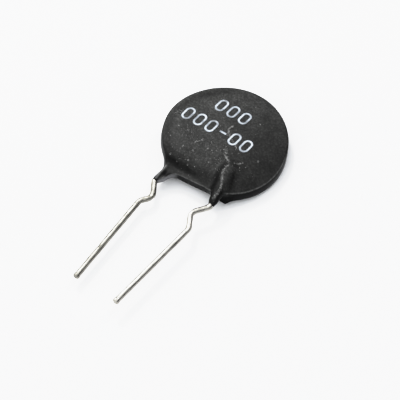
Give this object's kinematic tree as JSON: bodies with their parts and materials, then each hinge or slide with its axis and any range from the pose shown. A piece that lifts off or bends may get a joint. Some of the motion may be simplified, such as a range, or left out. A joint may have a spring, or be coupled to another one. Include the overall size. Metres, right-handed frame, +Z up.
{
  "type": "disc thermistor",
  "caption": "Radial disc resistor that limits inrush current, in a black dipped coating, with two kinked round leads, lying on its back.",
  "frame": {"origin": "on the surface that the part lies on, under the middle of its bounding box", "axes": "+Y from the lead tips to the disc, +Z up from the surface, the front printed face up"},
  "size_m": [0.017, 0.0366, 0.0038],
  "materials": {
    "coating": "matte black dipped silicone",
    "ceramic": "dark sintered metal oxide",
    "silver": "fired silver layer",
    "solder": "bright solder",
    "tinned_wire": "satin tinned wire",
    "ink": "white marking ink"
  },
  "bodies": {
    "root": {"coating": "coating", "ceramic_disc": "ceramic", "front_electrode": "silver", "back_electrode": "silver", "front_solder": "solder", "back_solder": "solder", "front_lead": "tinned_wire", "back_lead": "tinned_wire", "printed_marking": "ink"}
  },
  "joints": []
}
